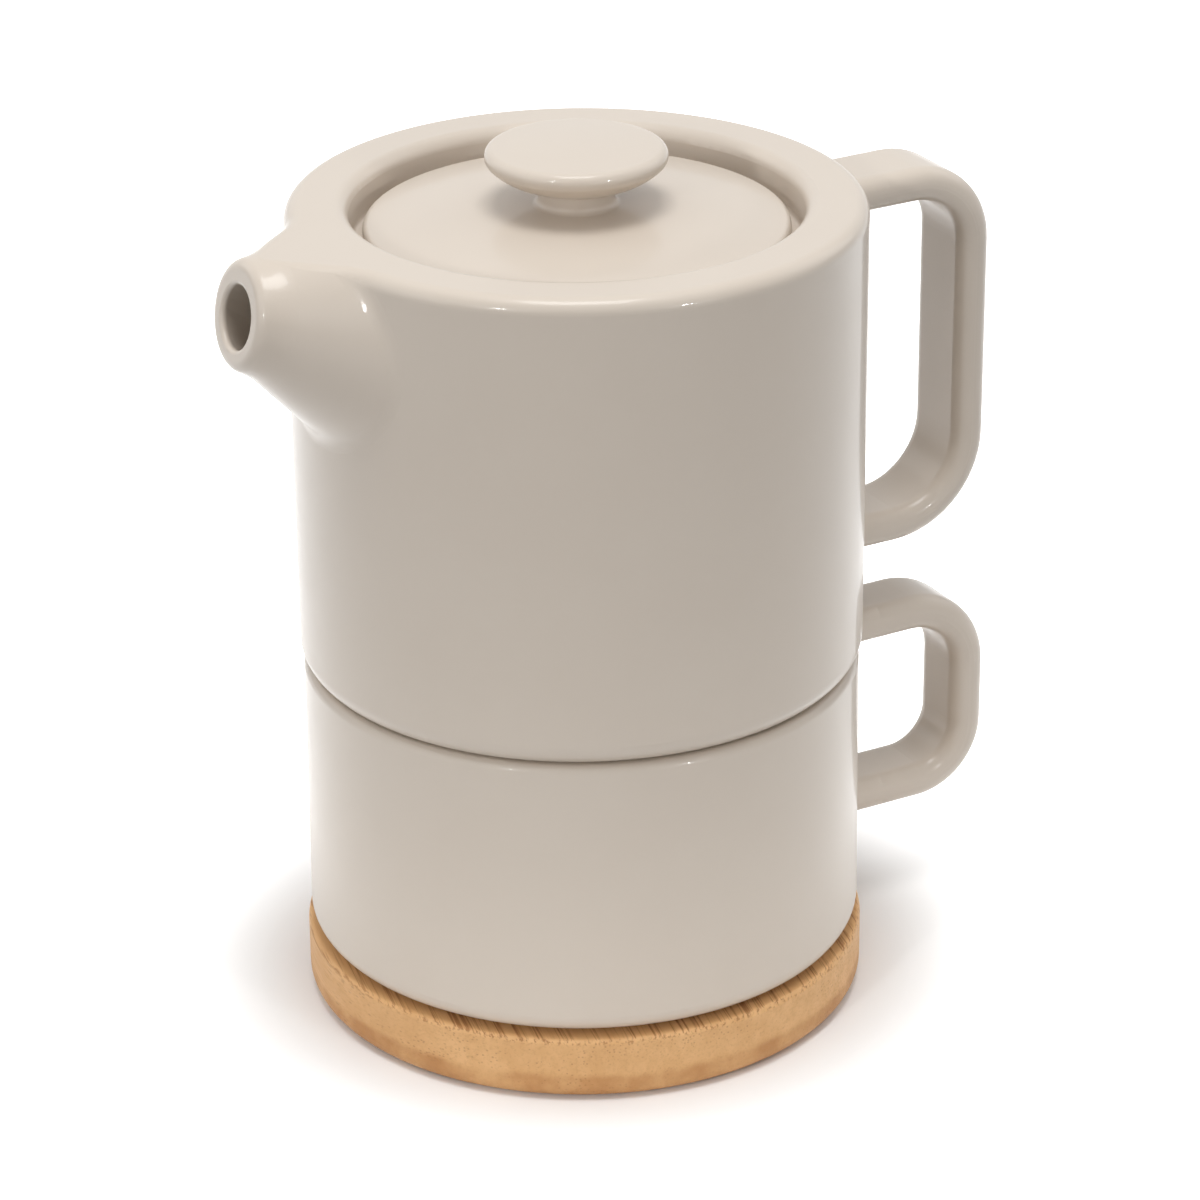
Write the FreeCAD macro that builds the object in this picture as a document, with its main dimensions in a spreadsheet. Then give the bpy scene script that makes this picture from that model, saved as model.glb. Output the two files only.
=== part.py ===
import FreeCAD, Part
import math
import os
import Sketcher
from FreeCAD import Vector

# Stacking tea for one: a teapot nests on its cup, the cup stands on a bamboo coaster, and a knobbed
# lid lies in the teapot's mouth. Millimetres, +Z up, spout towards -X, handles towards +X, and the
# origin at the centre of the coaster's underside.

doc = FreeCAD.newDocument("tea_for_one")

# Driving dimensions
sheet = doc.addObject("Spreadsheet::Sheet", "dims")
SIZES = {
    # the set: the teapot's radius, which cup and coaster follow
    "pot_radius": 53.0,
    # bamboo coaster
    "coaster_margin": 0.5,
    "coaster_thickness": 12.5,
    "coaster_top_round": 0.9,
    "coaster_bottom_round": 3.0,
    # cup
    "cup_height": 55.7,
    "cup_rim_inset": 0.6,
    "cup_base_inset": 0.2,
    "cup_wall": 5.0,
    "cup_floor": 5.0,
    "cup_base_round": 3.6,
    "cup_inside_round": 9.0,
    "cup_rim_outer_round": 1.6,
    "cup_rim_inner_round": 0.8,
    "cup_foot_inset": 5.3,
    "cup_foot_width": 4.5,
    "cup_foot_height": 0.9,
    "cup_foot_recess": 1.6,
    "foot_edge_round": 0.4,
    # teapot body
    "pot_height": 89.1,
    "pot_wall": 4.8,
    "pot_floor": 5.0,
    "pot_base_round": 4.2,
    "pot_inside_round": 9.0,
    "rim_round": 2.75,
    "rim_trimming": 10.0,
    "nest_depth": 3.0,
    "nest_clearance": 0.6,
    "nest_ring_width": 4.5,
    "nest_recess": 2.0,
    # mouth and the ledge that carries the lid
    "rim_width": 11.6,
    "mouth_round": 2.4,
    "ledge_depth": 8.3,
    "ledge_width": 6.9,
    "ledge_thickness": 3.6,
    "ledge_corner_round": 1.0,
    "ledge_lip_round": 0.8,
    "ledge_under_round": 2.0,
    # lid
    "lid_clearance": 2.5,
    "lid_edge_height": 4.2,
    "lid_edge_round": 1.3,
    "lid_crown_radius": 230.0,
    "collar_clearance": 1.0,
    "collar_wall": 3.5,
    "collar_depth": 7.0,
    "collar_round": 0.8,
    "stem_radius": 7.0,
    "stem_height": 3.8,
    "stem_round": 1.2,
    "knob_radius": 16.6,
    "knob_bowl_height": 4.3,
    "knob_bowl_radius": 13.0,
    "knob_edge_height": 2.4,
    "knob_edge_round": 1.6,
    "knob_crown_radius": 190.0,
    # spout, turned about an axis that runs up and out through the middle of its mouth
    "spout_tilt": 12.0,
    "spout_projection": 14.9,
    "spout_mouth_drop": 9.8,
    "spout_lip_radius": 9.6,
    "spout_lip_round": 2.2,
    "spout_neck_length": 4.5,
    "spout_neck_radius": 11.2,
    "spout_neck_round": 14.0,
    "spout_root_depth": 11.1,
    "spout_root_radius": 26.5,
    "spout_blend": 5.0,
    "spout_bore_radius": 5.5,
    "spout_bore_round": 0.8,
    # strainer at the root of the spout
    "strainer_wall": 3.3,
    "strainer_drop": 22.3,
    "strainer_chamber_radius": 10.5,
    "strainer_hole_radius": 2.1,
    "strainer_pitch_radius": 6.3,
    "strainer_ring_holes": 6,
    # strap handles
    "handle_edge_round": 3.0,
    "handle_root_round": 2.6,
    "pot_handle_width": 17.0,
    "pot_handle_thickness": 6.6,
    "pot_handle_projection": 31.7,
    "pot_handle_top_drop": 4.25,
    "pot_handle_top_rise": 0.3,
    "pot_handle_bottom_rise": 9.4,
    "pot_handle_top_bend": 13.0,
    "pot_handle_bottom_bend": 16.5,
    "cup_handle_width": 14.2,
    "cup_handle_thickness": 7.0,
    "cup_handle_projection": 34.8,
    "cup_handle_top_drop": 4.3,
    "cup_handle_top_rise": 0.4,
    "cup_handle_bottom_rise": 7.1,
    "cup_handle_top_bend": 13.4,
    "cup_handle_bottom_bend": 11.2,
}
for row, (name, size) in enumerate(SIZES.items(), start=1):
    sheet.set(f"A{row}", name)
    sheet.set(f"B{row}", str(size))
    sheet.setAlias(f"B{row}", name)
doc.recompute()

FULL_TURN = 360.0
TOUCHING = 0.02     # how far a point may be from a level or a wall and still count as on it

# Levels and radii that several pieces share, as formulas of the driving dimensions
COASTER_RADIUS = "(dims.pot_radius + dims.coaster_margin)"
COASTER_TOP = "dims.coaster_thickness"
CUP_RIM_RADIUS = "(dims.pot_radius - dims.cup_rim_inset)"
CUP_BASE_RADIUS = "(dims.pot_radius - dims.cup_base_inset)"
CUP_BASE = f"({COASTER_TOP} + dims.cup_foot_height)"
CUP_RIM = f"({COASTER_TOP} + dims.cup_height)"
CUP_INNER_RADIUS = f"({CUP_RIM_RADIUS} - dims.cup_wall)"
POT_RIM = f"({CUP_RIM} + dims.pot_height)"
POT_UNTRIMMED = f"({POT_RIM} + dims.rim_trimming)"
POT_INNER_RADIUS = "(dims.pot_radius - dims.pot_wall)"
LEDGE = f"({POT_RIM} - dims.ledge_depth)"
MOUTH_RADIUS = "(dims.pot_radius - dims.rim_width)"
THROAT_RADIUS = f"({MOUTH_RADIUS} - dims.ledge_width)"
SPOUT_REACH = "(dims.pot_radius + dims.spout_projection)"
SPOUT_LEVEL = f"({POT_RIM} - dims.spout_mouth_drop)"
SPOUT_LENGTH = "(dims.spout_projection + dims.spout_root_depth)"


def value(formula):
    """The present value of a formula of named dimensions."""
    return float(sheet.evalExpression(str(formula)))


def new_sketch(body, name, role, offset="0", height="0"):
    """A sketch on an origin plane of its body, moved along the plane's normal and upwards."""
    sketch = body.newObject("Sketcher::SketchObject", name)
    plane = next(item for item in body.Origin.OriginFeatures if item.Role == role)
    sketch.AttachmentSupport = [(plane, "")]
    sketch.MapMode = "FlatFace"
    sketch.setExpression("AttachmentOffset.Base.z", offset)
    sketch.setExpression("AttachmentOffset.Base.y", height)
    return sketch


def set_size(sketch, constraint, formula):
    """Bind a constraint of a sketch to a formula of named dimensions."""
    sketch.setExpression(f"Constraints[{constraint}]", formula)


def circle_on(body, name, role, offset, height, radius):
    """A sketch with one circle about its own origin."""
    sketch = new_sketch(body, name, role, offset, height)
    now = value(radius)
    circle = sketch.addGeometry(Part.Circle(Vector(0, 0, 0), Vector(0, 0, 1), now), False)
    sketch.addConstraint(Sketcher.Constraint("Coincident", circle, 3, -1, 1))
    set_size(sketch, sketch.addConstraint(Sketcher.Constraint("Radius", circle, now)), radius)
    return sketch


def arc_about(centre, start, end):
    """A counterclockwise arc about a centre, from one point to another."""
    first = math.atan2(start.y - centre.y, start.x - centre.x)
    last = math.atan2(end.y - centre.y, end.x - centre.x)
    circle = Part.Circle(centre, Vector(0, 0, 1), (start - centre).Length)
    return Part.ArcOfCircle(circle, first, last)


class Outline:
    """Sides from corner to corner, closed unless told otherwise and drawn counterclockwise. A
    corner is (across, up, round, bow), all formulas: the round fillets the corner, and the bow is
    the radius of an outward arc that leads to the next corner."""

    def __init__(self, sketch, corners, closed=True):
        self.sketch = sketch
        self.corners = [tuple(corner) + ("0",) * (4 - len(corner)) for corner in corners]
        self.points = [Vector(value(corner[0]), value(corner[1]), 0) for corner in self.corners]
        self.count = len(corners)
        self.side_count = self.count if closed else self.count - 1
        self.draw()
        self.bind()

    def ends(self, side):
        """The two corner points of a side."""
        return self.points[side % self.count], self.points[(side + 1) % self.count]

    def bow_centre(self, side):
        """Centre of a side's outward arc, or nothing for a straight side."""
        bow = value(self.corners[side % self.count][3])
        if not bow:
            return None
        start, end = self.ends(side)
        chord = end - start
        left = Vector(-chord.y, chord.x, 0).normalize()
        return (start + end) * 0.5 + left * math.sqrt(bow ** 2 - (chord.Length / 2) ** 2)

    def heading(self, side, end):
        """Direction of travel along a side, at its start (0) or its end (1)."""
        centre = self.bow_centre(side)
        if centre is None:
            start, finish = self.ends(side)
            return (finish - start).normalize()
        spoke = self.ends(side)[end] - centre
        return Vector(-spoke.y, spoke.x, 0).normalize()

    def draw(self):
        """Draw the sides and corner arcs where their dimensions will hold them."""
        starts = [self.ends(side)[0] for side in range(self.side_count)]
        finishes = [self.ends(side)[1] for side in range(self.side_count)]
        arcs = {}
        for corner in range(self.count):
            radius = value(self.corners[corner][2])
            if not radius:
                continue
            before = self.heading(corner - 1, 1)
            after = self.heading(corner, 0)
            leftward = before.x * after.y - before.y * after.x > 0
            reach = radius * math.tan(before.getAngle(after) / 2)
            first = self.points[corner] - before * reach
            last = self.points[corner] + after * reach
            inward = Vector(-before.y, before.x, 0) * (radius if leftward else -radius)
            finishes[corner - 1] = first
            starts[corner] = last
            arcs[corner] = (first + inward, first, last, leftward)
        self.sides = []
        for side in range(self.side_count):
            centre = self.bow_centre(side)
            if centre is None:
                shape = Part.LineSegment(starts[side], finishes[side])
            else:
                shape = arc_about(centre, starts[side], finishes[side])
            self.sides.append(self.sketch.addGeometry(shape, False))
        self.arcs = {}
        for corner, (centre, first, last, leftward) in arcs.items():
            shape = arc_about(centre, first, last) if leftward else arc_about(centre, last, first)
            self.arcs[corner] = (self.sketch.addGeometry(shape, False), leftward)

    def fix(self, *parts):
        """Add a constraint and return its number."""
        return self.sketch.addConstraint(Sketcher.Constraint(*parts))

    def bind(self):
        """Tie every corner, round and bow to its formula."""
        for corner, (across, up, radius, bow) in enumerate(self.corners):
            before = self.sides[corner - 1] if corner or self.side_count == self.count else None
            after = self.sides[corner] if corner < self.side_count else None
            place = (before, 2) if after is None else (after, 1)
            if corner in self.arcs:
                arc, leftward = self.arcs[corner]
                place = (self.sketch.addGeometry(Part.Point(self.points[corner]), True), 1)
                self.fix("PointOnObject", *place, before)
                self.fix("PointOnObject", *place, after)
                self.fix("Tangent", before, 2, arc, 1 if leftward else 2)
                self.fix("Tangent", after, 1, arc, 2 if leftward else 1)
                set_size(self.sketch, self.fix("Radius", arc, value(radius)), radius)
            elif before is not None and after is not None:
                self.fix("Coincident", before, 2, after, 1)
            self.locate(place, "DistanceX", -2, across, self.points[corner].x)
            self.locate(place, "DistanceY", -1, up, self.points[corner].y)
            if value(bow):
                set_size(self.sketch, self.fix("Radius", after, value(bow)), bow)

    def locate(self, place, kind, axis, formula, now):
        """Hold a point on an axis, or at a distance from the origin along one direction."""
        if formula == "0":
            self.fix("PointOnObject", *place, axis)
        else:
            set_size(self.sketch, self.fix(kind, -1, 1, *place, now), formula)


def revolved(body, name, corners, kind="PartDesign::Revolution"):
    """Turn an outline in the XZ plane about the Z axis, as a solid or as a groove."""
    sketch = new_sketch(body, f"{name}_outline", "XZ_Plane")
    Outline(sketch, corners)
    feature = body.newObject(kind, name)
    feature.Profile = (sketch, [""])
    feature.ReferenceAxis = (sketch, ["V_Axis"])
    feature.Angle = FULL_TURN
    doc.recompute()
    return feature


def rounded(body, name, keep, radius):
    """Fillet the edges of the body so far that a test picks out."""
    base = body.Tip
    edges = [f"Edge{i}" for i, edge in enumerate(base.Shape.Edges, start=1) if keep(edge)]
    feature = body.newObject("PartDesign::Fillet", name)
    feature.Base = (base, edges)
    feature.setExpression("Radius", radius)
    doc.recompute()
    return feature


def marks(edge):
    """Points spread along an edge."""
    first, last = edge.ParameterRange
    return [edge.valueAt(first + (last - first) * step / 4) for step in range(5)]


def at_level(edge, formula):
    """Whether an edge lies flat at a level."""
    level = value(formula)
    return all(abs(mark.z - level) < TOUCHING for mark in marks(edge))


def on_wall(edge, low, high):
    """Whether an edge runs round an upright or tapered wall, given as (level, radius) twice."""
    low_level, low_radius = (value(formula) for formula in low)
    high_level, high_radius = (value(formula) for formula in high)
    slope = (high_radius - low_radius) / (high_level - low_level)
    for mark in marks(edge):
        wall_radius = low_radius + slope * (mark.z - low_level)
        if abs(math.hypot(mark.x, mark.y) - wall_radius) > TOUCHING:
            return False
    return True


def is_circle(edge, radius):
    """Whether an edge is a circle about the Z axis, of a given radius."""
    return abs(edge.BoundBox.XMax - value(radius)) < TOUCHING


def is_seam(edge):
    """Whether an edge is the straight seam of a turned wall."""
    return all(abs(mark.y) < TOUCHING for mark in marks(edge))


def rounded_rectangle(sketch, half_width, low, high, corner_round):
    """A section about the upright axis of its plane, with four rounded corners."""
    Outline(sketch, [
        (f"-{half_width}", low, corner_round),
        (half_width, low, corner_round),
        (half_width, high, corner_round),
        (f"-{half_width}", high, corner_round),
    ])


def strap_handle(body, name, wall_radius, wall, top, bottom):
    """Sweep the strap section along a C from wall to wall; the levels are of its middle."""
    start = f"({wall_radius} - {wall} / 2)"
    section = new_sketch(body, f"{name}_section", "YZ_Plane", start)
    half = f"dims.{name}_thickness / 2"
    root_top = f"({top} - dims.{name}_top_rise)"
    rounded_rectangle(section, f"(dims.{name}_width / 2)", f"{root_top} - {half}",
                      f"{root_top} + {half}", "dims.handle_edge_round")
    path = new_sketch(body, f"{name}_path", "XZ_Plane")
    middle = f"{wall_radius} + dims.{name}_projection - {half}"
    Outline(path, [
        (start, bottom),
        (middle, bottom, f"dims.{name}_bottom_bend"),
        (middle, top, f"dims.{name}_top_bend"),
        (start, root_top),
    ], closed=False)
    sweep = body.newObject("PartDesign::AdditivePipe", name)
    sweep.Profile = section
    sweep.Spine = (path, [])
    doc.recompute()


# Coaster: a turned bamboo disc, its upper edge eased and its lower edge well rounded
coaster = doc.addObject("PartDesign::Body", "coaster")
revolved(coaster, "coaster_disc", [
    ("0", "0"),
    (COASTER_RADIUS, "0", "dims.coaster_bottom_round"),
    (COASTER_RADIUS, COASTER_TOP, "dims.coaster_top_round"),
    ("0", COASTER_TOP),
])

# Cup: a straight thick-walled cup on a low foot ring, with a short strap handle
cup = doc.addObject("PartDesign::Body", "cup")
CUP_RECESS = f"({COASTER_TOP} + dims.cup_foot_recess)"
CUP_RING_OUTER = f"({CUP_BASE_RADIUS} - dims.cup_foot_inset)"
CUP_RING_INNER = f"({CUP_RING_OUTER} - dims.cup_foot_width)"
revolved(cup, "cup_body", [
    ("0", CUP_RECESS),
    (CUP_RING_INNER, CUP_RECESS, "dims.foot_edge_round"),
    (CUP_RING_INNER, COASTER_TOP, "dims.foot_edge_round"),
    (CUP_RING_OUTER, COASTER_TOP, "dims.foot_edge_round"),
    (CUP_RING_OUTER, CUP_BASE),
    (CUP_BASE_RADIUS, CUP_BASE, "dims.cup_base_round"),
    (CUP_RIM_RADIUS, CUP_RIM, "dims.cup_rim_outer_round"),
    ("0", CUP_RIM),
])
strap_handle(cup, "cup_handle", CUP_RIM_RADIUS, "dims.cup_wall",
             f"({CUP_RIM} - dims.cup_handle_top_drop - dims.cup_handle_thickness / 2)",
             f"({COASTER_TOP} + dims.cup_handle_bottom_rise + dims.cup_handle_thickness / 2)")
CUP_WALL = ((CUP_BASE, CUP_BASE_RADIUS), (CUP_RIM, CUP_RIM_RADIUS))
rounded(cup, "cup_handle_roots",
        lambda edge: on_wall(edge, *CUP_WALL) and edge.BoundBox.XMin > 0 and not is_seam(edge),
        "dims.handle_root_round")
CUP_FLOOR = f"({CUP_RECESS} + dims.cup_floor)"
revolved(cup, "cup_inside", [
    ("0", CUP_FLOOR),
    (f"{CUP_BASE_RADIUS} - dims.cup_wall", CUP_FLOOR, "dims.cup_inside_round"),
    (CUP_INNER_RADIUS, CUP_RIM),
    ("0", CUP_RIM),
], "PartDesign::Groove")
rounded(cup, "cup_rim_inner_edge",
        lambda edge: at_level(edge, CUP_RIM) and is_circle(edge, CUP_INNER_RADIUS),
        "dims.cup_rim_inner_round")

# Spout: a turned cone with a narrow neck, its axis tilted up, cut level with the rim later on
teapot = doc.addObject("PartDesign::Body", "teapot")


def on_spout_axis(distance, out="0"):
    """Corner formulas of a point at a distance behind the mouth and so far below the spout's axis."""
    across = f"-{SPOUT_REACH} + {distance} * cos(dims.spout_tilt) - {out} * sin(dims.spout_tilt)"
    up = f"{SPOUT_LEVEL} - {distance} * sin(dims.spout_tilt) - {out} * cos(dims.spout_tilt)"
    return across, up


spout_outline = new_sketch(teapot, "spout_outline", "XZ_Plane")
spout_sides = Outline(spout_outline, [
    on_spout_axis("0"),
    (*on_spout_axis("0", "dims.spout_lip_radius"), "dims.spout_lip_round"),
    (*on_spout_axis("dims.spout_neck_length", "dims.spout_neck_radius"), "dims.spout_neck_round"),
    on_spout_axis(SPOUT_LENGTH, "dims.spout_root_radius"),
    on_spout_axis(SPOUT_LENGTH),
])
spout_axis = spout_outline.addGeometry(
    Part.LineSegment(spout_sides.points[-1], spout_sides.points[0]), True)
spout_outline.addConstraint(Sketcher.Constraint("Coincident", spout_axis, 1, spout_sides.sides[-1], 1))
spout_outline.addConstraint(Sketcher.Constraint("Coincident", spout_axis, 2, spout_sides.sides[-1], 2))
spout = teapot.newObject("PartDesign::Revolution", "spout")
spout.Profile = (spout_outline, [""])
spout.ReferenceAxis = (spout_outline, ["Axis0"])
spout.Angle = FULL_TURN
doc.recompute()

# Teapot body: straight-sided, with a ring under it that drops into the cup's mouth
NEST_RADIUS = f"({CUP_INNER_RADIUS} - dims.nest_clearance)"
NEST_RING_INNER = f"({NEST_RADIUS} - dims.nest_ring_width)"
NEST_LEVEL = f"({CUP_RIM} - dims.nest_depth)"
POT_RECESS = f"({NEST_LEVEL} + dims.nest_recess)"
revolved(teapot, "pot_body", [
    ("0", POT_RECESS),
    (NEST_RING_INNER, POT_RECESS, "dims.foot_edge_round"),
    (NEST_RING_INNER, NEST_LEVEL, "dims.foot_edge_round"),
    (NEST_RADIUS, NEST_LEVEL, "dims.foot_edge_round"),
    (NEST_RADIUS, CUP_RIM),
    ("dims.pot_radius", CUP_RIM, "dims.pot_base_round"),
    ("dims.pot_radius", POT_UNTRIMMED),
    ("0", POT_UNTRIMMED),
])
rim_plan = circle_on(teapot, "rim_plan", "XY_Plane", POT_RIM, "0",
                     f"{SPOUT_REACH} + dims.rim_trimming")
rim_trim = teapot.newObject("PartDesign::Pocket", "rim_trim")
rim_trim.Profile = (rim_plan, [""])
rim_trim.Type = "ThroughAll"
rim_trim.Reversed = True
doc.recompute()
POT_WALL = ((CUP_RIM, "dims.pot_radius"), (POT_RIM, "dims.pot_radius"))
rounded(teapot, "spout_blend",
        lambda edge: on_wall(edge, *POT_WALL) and edge.BoundBox.XMax < 0
        and not is_seam(edge) and not at_level(edge, POT_RIM), "dims.spout_blend")
rounded(teapot, "rim_edge", lambda edge: at_level(edge, POT_RIM), "dims.rim_round")

# Teapot handle: the cup's strap, longer
strap_handle(teapot, "pot_handle", "dims.pot_radius", "dims.pot_wall",
             f"({POT_RIM} - dims.pot_handle_top_drop - dims.pot_handle_thickness / 2)",
             f"({CUP_RIM} + dims.pot_handle_bottom_rise + dims.pot_handle_thickness / 2)")
rounded(teapot, "pot_handle_roots",
        lambda edge: on_wall(edge, *POT_WALL) and edge.BoundBox.XMin > 0 and not is_seam(edge),
        "dims.handle_root_round")

# Teapot inside: the hollow, the throat and the ledge that the lid lies on
POT_FLOOR = f"({POT_RECESS} + dims.pot_floor)"
LEDGE_UNDERSIDE = f"({LEDGE} - dims.ledge_thickness)"
revolved(teapot, "pot_inside", [
    ("0", POT_FLOOR),
    (POT_INNER_RADIUS, POT_FLOOR, "dims.pot_inside_round"),
    (POT_INNER_RADIUS, LEDGE_UNDERSIDE, "dims.ledge_under_round"),
    (THROAT_RADIUS, LEDGE_UNDERSIDE, "dims.ledge_lip_round"),
    (THROAT_RADIUS, LEDGE, "dims.ledge_lip_round"),
    (MOUTH_RADIUS, LEDGE, "dims.ledge_corner_round"),
    (MOUTH_RADIUS, POT_RIM),
    ("0", POT_RIM),
], "PartDesign::Groove")
rounded(teapot, "mouth_edge",
        lambda edge: at_level(edge, POT_RIM) and is_circle(edge, MOUTH_RADIUS),
        "dims.mouth_round")

# Spout inside: a slanting chamber from the strainer to the bore at the mouth
STRAINER_FACE = f"({POT_INNER_RADIUS} + dims.strainer_wall)"
STRAINER_LEVEL = f"({POT_RIM} - dims.strainer_drop)"
chamber_root = circle_on(teapot, "chamber_root", "YZ_Plane", f"-{STRAINER_FACE}", STRAINER_LEVEL,
                         "dims.strainer_chamber_radius")
chamber_mouth = circle_on(teapot, "chamber_mouth", "YZ_Plane", f"-{SPOUT_REACH}", SPOUT_LEVEL,
                          "dims.spout_bore_radius")
chamber_mouth.AttachmentOffset = FreeCAD.Placement(
    chamber_mouth.AttachmentOffset.Base, FreeCAD.Rotation(Vector(1, 0, 0), value("dims.spout_tilt")))
chamber_mouth.setExpression("AttachmentOffset.Rotation.Angle", "dims.spout_tilt")
chamber = teapot.newObject("PartDesign::SubtractiveLoft", "spout_chamber")
chamber.Profile = (chamber_root, [""])
chamber.Sections = [(chamber_mouth, [""])]
doc.recompute()


def round_mouth(edge):
    """Whether an edge is the bore's circle in the spout's mouth."""
    centre = Vector(-value(SPOUT_REACH), 0, value(SPOUT_LEVEL))
    radius = value("dims.spout_bore_radius")
    return all(abs((mark - centre).Length - radius) < TOUCHING for mark in marks(edge))


rounded(teapot, "spout_bore_edge", round_mouth, "dims.spout_bore_round")

# Strainer: the wall stays closed behind the spout but for one hole and a ring of six about it
HOLE_DEPTH = "dims.strainer_wall + dims.pot_wall"


def strainer_hole(name, off_centre):
    """A round hole through the wall into the pot, at a distance from the strainer's centre."""
    sketch = new_sketch(teapot, f"{name}_outline", "YZ_Plane", f"-{STRAINER_FACE}", STRAINER_LEVEL)
    now = value(off_centre)
    radius = value("dims.strainer_hole_radius")
    circle = sketch.addGeometry(Part.Circle(Vector(now, 0, 0), Vector(0, 0, 1), radius), False)
    sketch.addConstraint(Sketcher.Constraint("PointOnObject", circle, 3, -1))
    if now:
        set_size(sketch, sketch.addConstraint(Sketcher.Constraint("DistanceX", -1, 1, circle, 3, now)),
                 off_centre)
    else:
        sketch.addConstraint(Sketcher.Constraint("PointOnObject", circle, 3, -2))
    set_size(sketch, sketch.addConstraint(Sketcher.Constraint("Radius", circle, radius)),
             "dims.strainer_hole_radius")
    pocket = teapot.newObject("PartDesign::Pocket", name)
    pocket.Profile = (sketch, [""])
    pocket.Reversed = True
    pocket.setExpression("Length", HOLE_DEPTH)
    doc.recompute()
    return sketch, pocket


strainer_hole("strainer_middle", "0")
ring_sketch, ring_hole = strainer_hole("strainer_outer", "dims.strainer_pitch_radius")
strainer = teapot.newObject("PartDesign::PolarPattern", "strainer_ring")
strainer.Originals = [ring_hole]
strainer.Axis = (ring_sketch, ["N_Axis"])
strainer.Angle = FULL_TURN
strainer.setExpression("Occurrences", "dims.strainer_ring_holes")
teapot.Tip = strainer
doc.recompute()

# Lid: a gently crowned disc on the ledge, a collar in the throat, and a mushroom knob on a stem
lid = doc.addObject("PartDesign::Body", "lid")
LID_RADIUS = f"({MOUTH_RADIUS} - dims.lid_clearance)"
COLLAR_RADIUS = f"({THROAT_RADIUS} - dims.collar_clearance)"
COLLAR_INNER = f"({COLLAR_RADIUS} - dims.collar_wall)"
COLLAR_END = f"({LEDGE} - dims.collar_depth)"
LID_EDGE = f"({LEDGE} + dims.lid_edge_height)"
STEM_FOOT = (f"({LID_EDGE} + sqrt(dims.lid_crown_radius ^ 2 - dims.stem_radius ^ 2)"
             f" - sqrt(dims.lid_crown_radius ^ 2 - {LID_RADIUS} ^ 2))")
STEM_HEAD = f"({STEM_FOOT} + dims.stem_height)"
KNOB_LOWER = f"({STEM_HEAD} + dims.knob_bowl_height)"
KNOB_UPPER = f"({KNOB_LOWER} + dims.knob_edge_height)"
KNOB_TOP = (f"({KNOB_UPPER} + dims.knob_crown_radius"
            f" - sqrt(dims.knob_crown_radius ^ 2 - dims.knob_radius ^ 2))")
revolved(lid, "lid_turned", [
    ("0", LEDGE),
    (COLLAR_INNER, LEDGE, "dims.collar_round"),
    (COLLAR_INNER, COLLAR_END, "dims.collar_round"),
    (COLLAR_RADIUS, COLLAR_END, "dims.collar_round"),
    (COLLAR_RADIUS, LEDGE),
    (LID_RADIUS, LEDGE, "dims.collar_round"),
    (LID_RADIUS, LID_EDGE, "dims.lid_edge_round", "dims.lid_crown_radius"),
    ("dims.stem_radius", STEM_FOOT, "dims.stem_round"),
    ("dims.stem_radius", STEM_HEAD, "dims.stem_round", "dims.knob_bowl_radius"),
    ("dims.knob_radius", KNOB_LOWER, "dims.knob_edge_round"),
    ("dims.knob_radius", KNOB_UPPER, "dims.knob_edge_round", "dims.knob_crown_radius"),
    ("0", KNOB_TOP),
])

doc.recompute()
pieces = [coaster, cup, teapot, lid]
for item in doc.Objects:
    if "Invalid" in item.State or "Error" in item.State:
        raise RuntimeError(f"{item.Name} did not build: {item.State}")
os.makedirs("parts", exist_ok=True)
for piece in pieces:
    piece.Label = piece.Name
    piece.Placement = FreeCAD.Placement()
    if piece.Shape.isNull() or not piece.Shape.isValid():
        raise RuntimeError(f"{piece.Label} is not a valid solid")
for piece in pieces:
    piece.Shape.exportStep(f"parts/{piece.Label}.step")
    print(piece.Label, len(piece.Shape.Solids), round(piece.Shape.Volume), len(piece.Shape.Faces))
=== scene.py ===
import math
import bpy
from mathutils import Matrix, Vector


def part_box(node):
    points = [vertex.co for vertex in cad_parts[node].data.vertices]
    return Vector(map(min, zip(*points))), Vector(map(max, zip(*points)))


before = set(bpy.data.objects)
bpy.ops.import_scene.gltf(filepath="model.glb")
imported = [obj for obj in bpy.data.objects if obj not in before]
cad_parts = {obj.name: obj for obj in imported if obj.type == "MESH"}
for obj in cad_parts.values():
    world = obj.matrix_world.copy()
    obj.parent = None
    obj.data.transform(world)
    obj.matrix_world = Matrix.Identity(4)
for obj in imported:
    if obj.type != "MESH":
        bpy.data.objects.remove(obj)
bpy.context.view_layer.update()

# Coaster
# A round of laminated bamboo about 12 mm thick, a pale upper ply glued on a browner lower one. It is
# turned on a lathe, its top edge eased and its foot well rounded, and it is oiled.

GRAIN_HEADING = math.radians(78)
GLUE_LINE_HEIGHT = 0.0050
GLUE_LINE_WANDER = 0.0016
STRIP_WIDTH = 0.021
FIBRES_PER_METRE = 1800
BUNDLES_PER_METRE = 1350
TOP_RING_START = 0.0114
TOP_RING_END = 0.0122
FIBRE_RELIEF = 0.00012
BUNDLE_RELIEF = -0.00006


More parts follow.
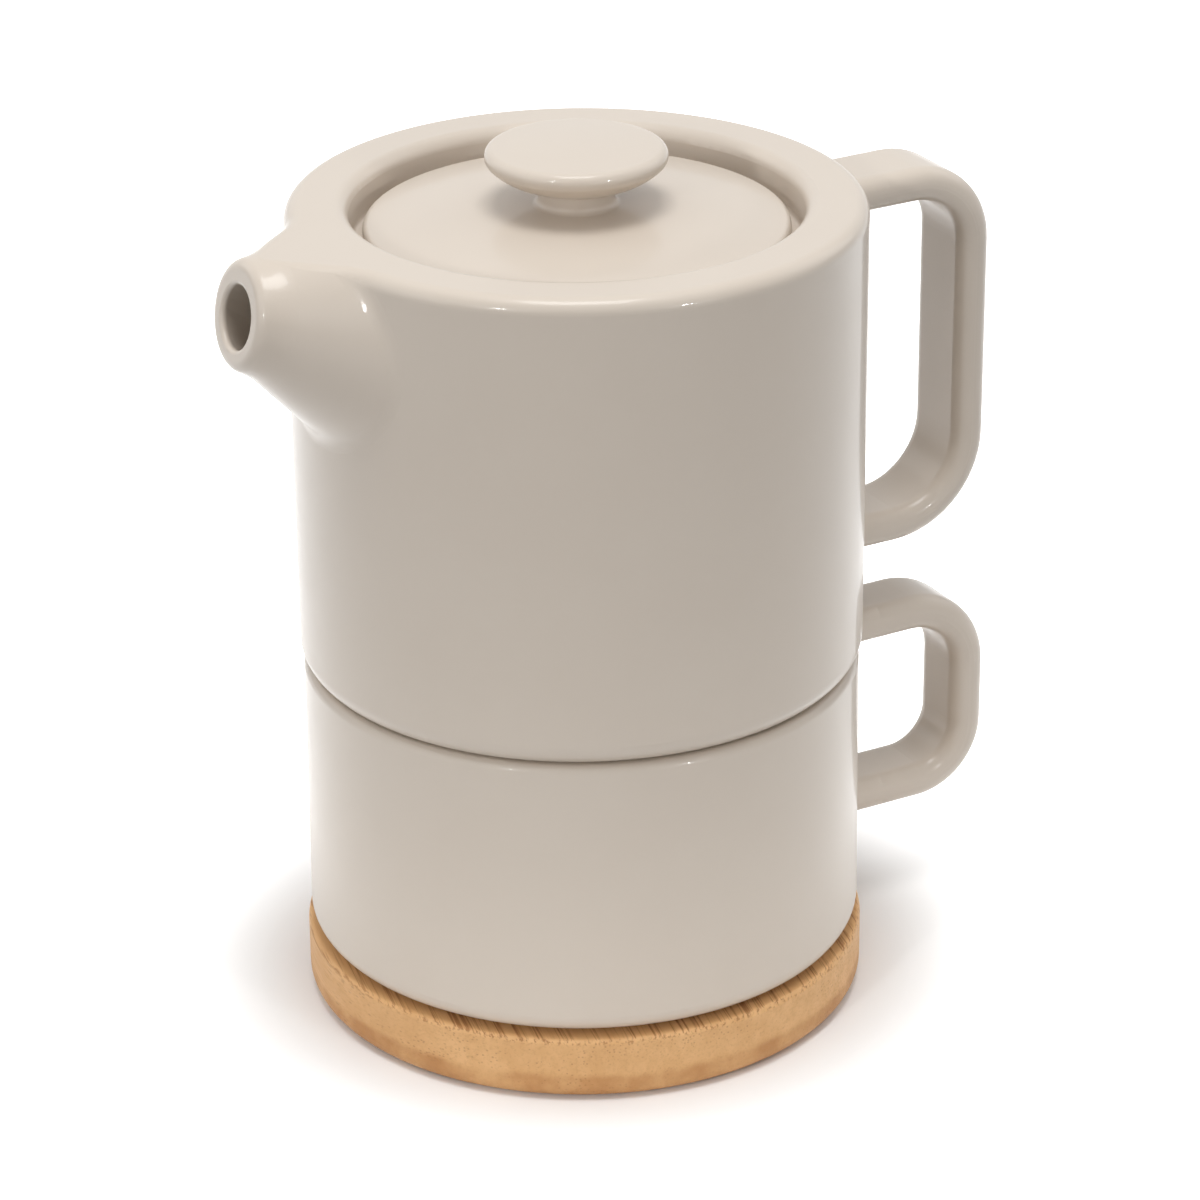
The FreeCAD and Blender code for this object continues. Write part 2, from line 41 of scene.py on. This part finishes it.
class Finish:
    """A surface finish in the making: a node material and its shader."""

    def __init__(self, name):
        self.material = bpy.data.materials.new(name)
        self.material.use_nodes = True
        self.tree = self.material.node_tree
        self.tree.nodes.clear()
        self.shader = self.add("ShaderNodeBsdfPrincipled")
        output = self.add("ShaderNodeOutputMaterial")
        self.link(self.shader.outputs["BSDF"], output.inputs["Surface"])

    def add(self, kind, **inputs):
        """A node, with values or other nodes' outputs put into its inputs by name."""
        node = self.tree.nodes.new(kind)
        for name, value in inputs.items():
            self.put(node.inputs[name.replace("_", " ")], value)
        return node

    def put(self, socket, value):
        """Set an input to a value or join it to an output."""
        if isinstance(value, bpy.types.NodeSocket):
            self.link(value, socket)
        elif isinstance(value, tuple) and len(socket.default_value) == 4:
            socket.default_value = (*value, 1.0)
        else:
            socket.default_value = value

    def link(self, output, socket):
        self.tree.links.new(output, socket)

    def place(self):
        """Where a point of the piece is, in metres."""
        return self.add("ShaderNodeTexCoord").outputs["Object"]

    def stretched(self, place, turn, across_x, across_y, up):
        """A place turned about the upright axis and counted in cells per metre."""
        turned = self.add("ShaderNodeMapping", Vector=place, Rotation=Vector((0, 0, -turn)))
        return self.add("ShaderNodeMapping", Vector=turned.outputs["Vector"],
                        Scale=Vector((across_x, across_y, up))).outputs["Vector"]

    def cloud(self, place, scale, detail, roughness=0.5):
        """Soft noise from 0 to 1."""
        return self.add("ShaderNodeTexNoise", Vector=place, Scale=scale, Detail=detail,
                        Roughness=roughness).outputs["Fac"]

    def step(self, value, start, end, low=0.0, high=1.0):
        """A smooth rise from one level to another as a value goes from start to end."""
        ramp = self.add("ShaderNodeMapRange", Value=value, From_Min=start, From_Max=end,
                        To_Min=low, To_Max=high)
        ramp.interpolation_type = "SMOOTHSTEP"
        return ramp.outputs["Result"]

    def sum(self, operation, first, second):
        """Two values put together by one operation."""
        node = self.tree.nodes.new("ShaderNodeMath")
        node.operation = operation
        self.put(node.inputs[0], first)
        self.put(node.inputs[1], second)
        return node.outputs["Value"]

    def blend(self, share, first, second):
        """A colour between two, by the second's share."""
        node = self.tree.nodes.new("ShaderNodeMix")
        node.data_type = "RGBA"
        self.put(node.inputs[0], share)
        self.put(node.inputs[6], first)
        self.put(node.inputs[7], second)
        return node.outputs[2]

    def relief(self, height, depth, under=None):
        """A bump of a given depth in metres, on top of another one."""
        bump = self.add("ShaderNodeBump", Height=height, Distance=depth, Strength=1.0)
        if under is not None:
            self.link(under, bump.inputs["Normal"])
        return bump.outputs["Normal"]


bamboo = Finish("oiled_bamboo")
place = bamboo.place()
along_grain = bamboo.stretched(place, GRAIN_HEADING, 1, 1, 1)
axes = bamboo.add("ShaderNodeSeparateXYZ", Vector=along_grain)

fibre_cells = bamboo.stretched(place, GRAIN_HEADING, 35, FIBRES_PER_METRE, FIBRES_PER_METRE)
fibres = bamboo.cloud(fibre_cells, 1.0, 3.0, 0.6)
streaks = bamboo.cloud(bamboo.stretched(place, GRAIN_HEADING, 14, 420, 300), 1.0, 2.0)
blotches = bamboo.cloud(place, 90.0, 3.0, 0.6)

strip = bamboo.sum("FLOOR", bamboo.sum("DIVIDE", axes.outputs["Y"], STRIP_WIDTH), 0.0)
glue_height = bamboo.sum("ADD", GLUE_LINE_HEIGHT - GLUE_LINE_WANDER / 2,
                         bamboo.sum("MULTIPLY", blotches, GLUE_LINE_WANDER))
below_glue = bamboo.sum("SUBTRACT", glue_height, axes.outputs["Z"])
lower_ply = bamboo.step(below_glue, -0.0009, 0.0009)
ply_and_strip = bamboo.sum("ADD", strip, bamboo.sum("MULTIPLY", lower_ply, 7.0))
strip_tone = bamboo.tree.nodes.new("ShaderNodeTexWhiteNoise")
strip_tone.noise_dimensions = "1D"
bamboo.link(ply_and_strip, strip_tone.inputs["W"])

bundle_cells = bamboo.stretched(place, GRAIN_HEADING, 45, BUNDLES_PER_METRE, BUNDLES_PER_METRE)
bundles = bamboo.add("ShaderNodeTexVoronoi", Vector=bundle_cells, Scale=1.0, Randomness=0.75)
bundle_crowding = bamboo.cloud(bamboo.stretched(place, GRAIN_HEADING, 8, 90, 190), 1.0, 1.0)
bundle_share = bamboo.sum("MULTIPLY", bamboo.step(bundles.outputs["Distance"], 0.14, 0.34, 1.0, 0.0),
                          bamboo.step(bundle_crowding, 0.40, 0.64, 0.08, 0.5))

PALE_FIBRE = (0.755, 0.455, 0.210)
TAN_FIBRE = (0.61, 0.335, 0.135)
BROWN_STREAK = (0.38, 0.178, 0.066)
LOWER_PLY_BROWN = (0.475, 0.225, 0.078)
wood = bamboo.blend(bamboo.step(streaks, 0.3, 0.72, 0.0, 0.45), PALE_FIBRE, TAN_FIBRE)
wood = bamboo.blend(bamboo.step(blotches, 0.35, 0.7, 0.0, 0.35), wood, TAN_FIBRE)
open_grain = bamboo.step(axes.outputs["Z"], TOP_RING_START, TOP_RING_END, 0.16, 1.0)
fibre_share = bamboo.sum("MULTIPLY", bamboo.step(fibres, 0.48, 0.66), open_grain)
wood = bamboo.blend(fibre_share, wood, BROWN_STREAK)
wood = bamboo.blend(bamboo.sum("MULTIPLY", strip_tone.outputs["Value"], 0.25), wood, TAN_FIBRE)
lower_share = bamboo.sum("MULTIPLY", lower_ply, bamboo.step(blotches, 0.3, 0.7, 0.2, 0.95))
wood = bamboo.blend(lower_share, wood, LOWER_PLY_BROWN)
wood = bamboo.blend(bundle_share, wood, BROWN_STREAK)
bamboo.link(wood, bamboo.shader.inputs["Base Color"])
bamboo.link(bamboo.step(fibres, 0.2, 0.8, 0.42, 0.6), bamboo.shader.inputs["Roughness"])
grain_relief = bamboo.relief(fibres, FIBRE_RELIEF)
bamboo.link(bamboo.relief(bundle_share, BUNDLE_RELIEF, grain_relief), bamboo.shader.inputs["Normal"])
bamboo.shader.inputs["Specular IOR Level"].default_value = 0.35

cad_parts["coaster"].material_slots[0].material = bamboo.material

# Cup
# A thick-walled stoneware cup, jiggered, with a pulled strap handle stuck on. Its satin glaze covers
# all but the foot ring, which stood on the kiln shelf and is wiped bare.

GREIGE = (0.64, 0.562, 0.480)
GREIGE_THIN = (0.67, 0.598, 0.518)
BARE_CLAY = (0.62, 0.50, 0.38)
WIPED_HEIGHT = 0.0003
GLAZE_EDGE = 0.0003
PEEL_RELIEF = 0.000012
GRIT_RELIEF = 0.00015


def satin_glaze(name, bare_below):
    """Satin greige glaze with a faint orange peel; clay shows bare under a height."""
    glaze = Finish(name)
    place = glaze.place()
    height = glaze.add("ShaderNodeSeparateXYZ", Vector=place).outputs["Z"]
    wiped = glaze.sum("ADD", height, glaze.sum("MULTIPLY", glaze.cloud(place, 700.0, 2.0), GLAZE_EDGE))
    bare = glaze.step(wiped, bare_below, bare_below + GLAZE_EDGE, 1.0, 0.0)
    pooling = glaze.cloud(place, 38.0, 3.0)
    grit = glaze.cloud(place, 2600.0, 2.0, 0.7)
    colour = glaze.blend(glaze.step(pooling, 0.3, 0.7, 0.0, 0.35), GREIGE, GREIGE_THIN)
    colour = glaze.blend(bare, colour, BARE_CLAY)
    glaze.link(colour, glaze.shader.inputs["Base Color"])
    satin = glaze.step(pooling, 0.3, 0.7, 0.34, 0.40)
    dull = glaze.sum("MAXIMUM", satin, glaze.sum("MULTIPLY", bare, 0.85))
    glaze.link(dull, glaze.shader.inputs["Roughness"])
    peel = glaze.relief(glaze.cloud(place, 420.0, 2.0), PEEL_RELIEF)
    rough_clay = glaze.sum("MULTIPLY", grit, bare)
    glaze.link(glaze.relief(rough_clay, GRIT_RELIEF, peel), glaze.shader.inputs["Normal"])
    glaze.shader.inputs["Specular IOR Level"].default_value = 0.3
    glaze.shader.inputs["Coat Weight"].default_value = 0.3
    glaze.shader.inputs["Coat Roughness"].default_value = 0.06
    return glaze.material


CUP_FOOT_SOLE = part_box("cup")[0].z + WIPED_HEIGHT
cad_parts["cup"].material_slots[0].material = satin_glaze("cup_glaze", CUP_FOOT_SOLE)

# Teapot
# One slip-cast piece: body, cone spout and strap handle. The same glaze covers it inside and out, and
# only the sole of the ring that drops into the cup is bare.

POT_RING_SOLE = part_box("teapot")[0].z + WIPED_HEIGHT
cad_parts["teapot"].material_slots[0].material = satin_glaze("teapot_glaze", POT_RING_SOLE)

# Lid
# A cast disc with a knob that was stuck on before glazing. It was fired standing on its collar, whose
# end is wiped bare.

COLLAR_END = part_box("lid")[0].z + WIPED_HEIGHT
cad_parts["lid"].material_slots[0].material = satin_glaze("lid_glaze", COLLAR_END)

# Table
# A plain white table top. It lights the set from below, most strongly close to it. It is seen white,
# but for the shadow round the coaster.

TABLE_SIZE = 8.0
SHADOW_FADES_FROM = 0.055
SHADOW_GONE_AT = 0.105
BOUNCE_FADES_FROM = 0.09
BOUNCE_GONE_AT = 0.24
bpy.ops.mesh.primitive_plane_add(size=TABLE_SIZE, location=(0, 0, -0.0002))
table = bpy.context.object
table.name = "table"
table_top = Finish("white_table")
seen = table_top.add("ShaderNodeLightPath")
direct_view = table_top.sum("ADD", seen.outputs["Is Camera Ray"], seen.outputs["Is Glossy Ray"])
direct_view = table_top.sum("ADD", direct_view, seen.outputs["Is Transmission Ray"])
spot = table_top.add("ShaderNodeVectorMath", Vector=table_top.place())
spot.operation = "LENGTH"
past_bounce = table_top.step(spot.outputs["Value"], BOUNCE_FADES_FROM, BOUNCE_GONE_AT)
bounce = table_top.blend(past_bounce, (0.95, 0.94, 0.93), (0.10, 0.10, 0.10))
top_colour = table_top.blend(direct_view, bounce, (0.92, 0.92, 0.92))
table_top.link(top_colour, table_top.shader.inputs["Base Color"])
past_shadow = table_top.step(spot.outputs["Value"], SHADOW_FADES_FROM, SHADOW_GONE_AT)
glow = table_top.sum("MULTIPLY", past_shadow, direct_view)
table_top.shader.inputs["Emission Color"].default_value = (1, 1, 1, 1)
table_top.link(glow, table_top.shader.inputs["Emission Strength"])
table_top.shader.inputs["Roughness"].default_value = 1.0
table_top.shader.inputs["Specular IOR Level"].default_value = 0.0
table.data.materials.append(table_top.material)

# Light
# A white tent, brightest overhead, with a softbox above the set, two white panels on each side, and a
# small lamp on each side of the camera that draws the glints.

TENT_SIDES = 0.03
TENT_TOP = 0.95
studio = bpy.data.worlds.new("white_tent")
bpy.context.scene.world = studio
studio.use_nodes = True
tree = studio.node_tree
tree.nodes.clear()
path = tree.nodes.new("ShaderNodeLightPath")
seen_directly = tree.nodes.new("ShaderNodeMath")
seen_directly.operation = "MAXIMUM"
tree.links.new(path.outputs["Is Camera Ray"], seen_directly.inputs[0])
tree.links.new(path.outputs["Is Glossy Ray"], seen_directly.inputs[1])
seen_or_through = tree.nodes.new("ShaderNodeMath")
seen_or_through.operation = "MAXIMUM"
tree.links.new(seen_directly.outputs["Value"], seen_or_through.inputs[0])
tree.links.new(path.outputs["Is Transmission Ray"], seen_or_through.inputs[1])
direction = tree.nodes.new("ShaderNodeSeparateXYZ")
tree.links.new(tree.nodes.new("ShaderNodeTexCoord").outputs["Generated"], direction.inputs["Vector"])
squared = tree.nodes.new("ShaderNodeMath")
squared.operation = "POWER"
squared.use_clamp = True
squared.inputs[1].default_value = 2.0
tree.links.new(direction.outputs["Z"], squared.inputs[0])
shade = tree.nodes.new("ShaderNodeMapRange")
shade.inputs["To Min"].default_value = TENT_SIDES
shade.inputs["To Max"].default_value = TENT_TOP
tree.links.new(squared.outputs["Value"], shade.inputs["Value"])
strength = tree.nodes.new("ShaderNodeMapRange")
strength.inputs["To Max"].default_value = 1.0
tree.links.new(seen_or_through.outputs["Value"], strength.inputs["Value"])
tree.links.new(shade.outputs["Result"], strength.inputs["To Min"])
tent = tree.nodes.new("ShaderNodeBackground")
tent.inputs["Color"].default_value = (1, 1, 1, 1)
tree.links.new(strength.outputs["Result"], tent.inputs["Strength"])
sky = tree.nodes.new("ShaderNodeOutputWorld")
tree.links.new(tent.outputs["Background"], sky.inputs["Surface"])

SET_MIDDLE = Vector((0, 0, 0.09))
SOFTBOX_DISTANCE = 1.1


def softbox(name, bearing, elevation, size, power):
    """A square softbox aimed at the middle of the set."""
    lamp = bpy.data.lights.new(name, "AREA")
    lamp.size = size
    lamp.energy = power
    holder = bpy.data.objects.new(name, lamp)
    bpy.context.scene.collection.objects.link(holder)
    level = math.cos(math.radians(elevation))
    out = Vector((level * math.cos(math.radians(bearing)), level * math.sin(math.radians(bearing)),
                  math.sin(math.radians(elevation))))
    holder.location = SET_MIDDLE + out * SOFTBOX_DISTANCE
    holder.rotation_euler = out.to_track_quat("Z", "Y").to_euler()


softbox("top_softbox", -118, 82, 0.45, 5.3)
softbox("left_panel", 175, 18, 0.7, 1.6)
softbox("far_left_panel", 128, 30, 0.6, 1.1)
softbox("far_right_panel", 0, 30, 0.6, 1.1)
softbox("left_lamp", -148, 22, 0.09, 2.0)
softbox("right_panel", -30, 18, 0.6, 0.3)
softbox("right_lamp", -77, 13, 0.09, 1.9)

# Camera
# A long lens above the table's height, turned so that the spout points left and towards it.

CAMERA_BACK = 0.75288
CAMERA_HEIGHT = 0.42558
SIDE_TURN = math.radians(28)
LOOK_DOWN = math.radians(24.84)
LOOK_RIGHT = math.radians(0.27)
TILT = math.radians(-0.512)
SENSOR_WIDTH = 36.0
IMAGE_WIDTH = 1200
FOCAL_PIXELS = 4404.56
FOCAL_LENGTH = SENSOR_WIDTH * FOCAL_PIXELS / IMAGE_WIDTH
camera = bpy.data.objects.new("camera", bpy.data.cameras.new("camera"))
bpy.context.scene.collection.objects.link(camera)
camera.data.sensor_width = SENSOR_WIDTH
camera.data.lens = FOCAL_LENGTH
camera.data.clip_start = 0.01
camera.matrix_world = (Matrix.Rotation(-SIDE_TURN, 4, "Z")
                       @ Matrix.Translation((0, -CAMERA_BACK, CAMERA_HEIGHT))
                       @ Matrix.Rotation(-LOOK_RIGHT, 4, "Z")
                       @ Matrix.Rotation(math.pi / 2 - LOOK_DOWN, 4, "X")
                       @ Matrix.Rotation(TILT, 4, "Z"))
bpy.context.scene.camera = camera
bpy.context.scene.view_settings.view_transform = "Standard"
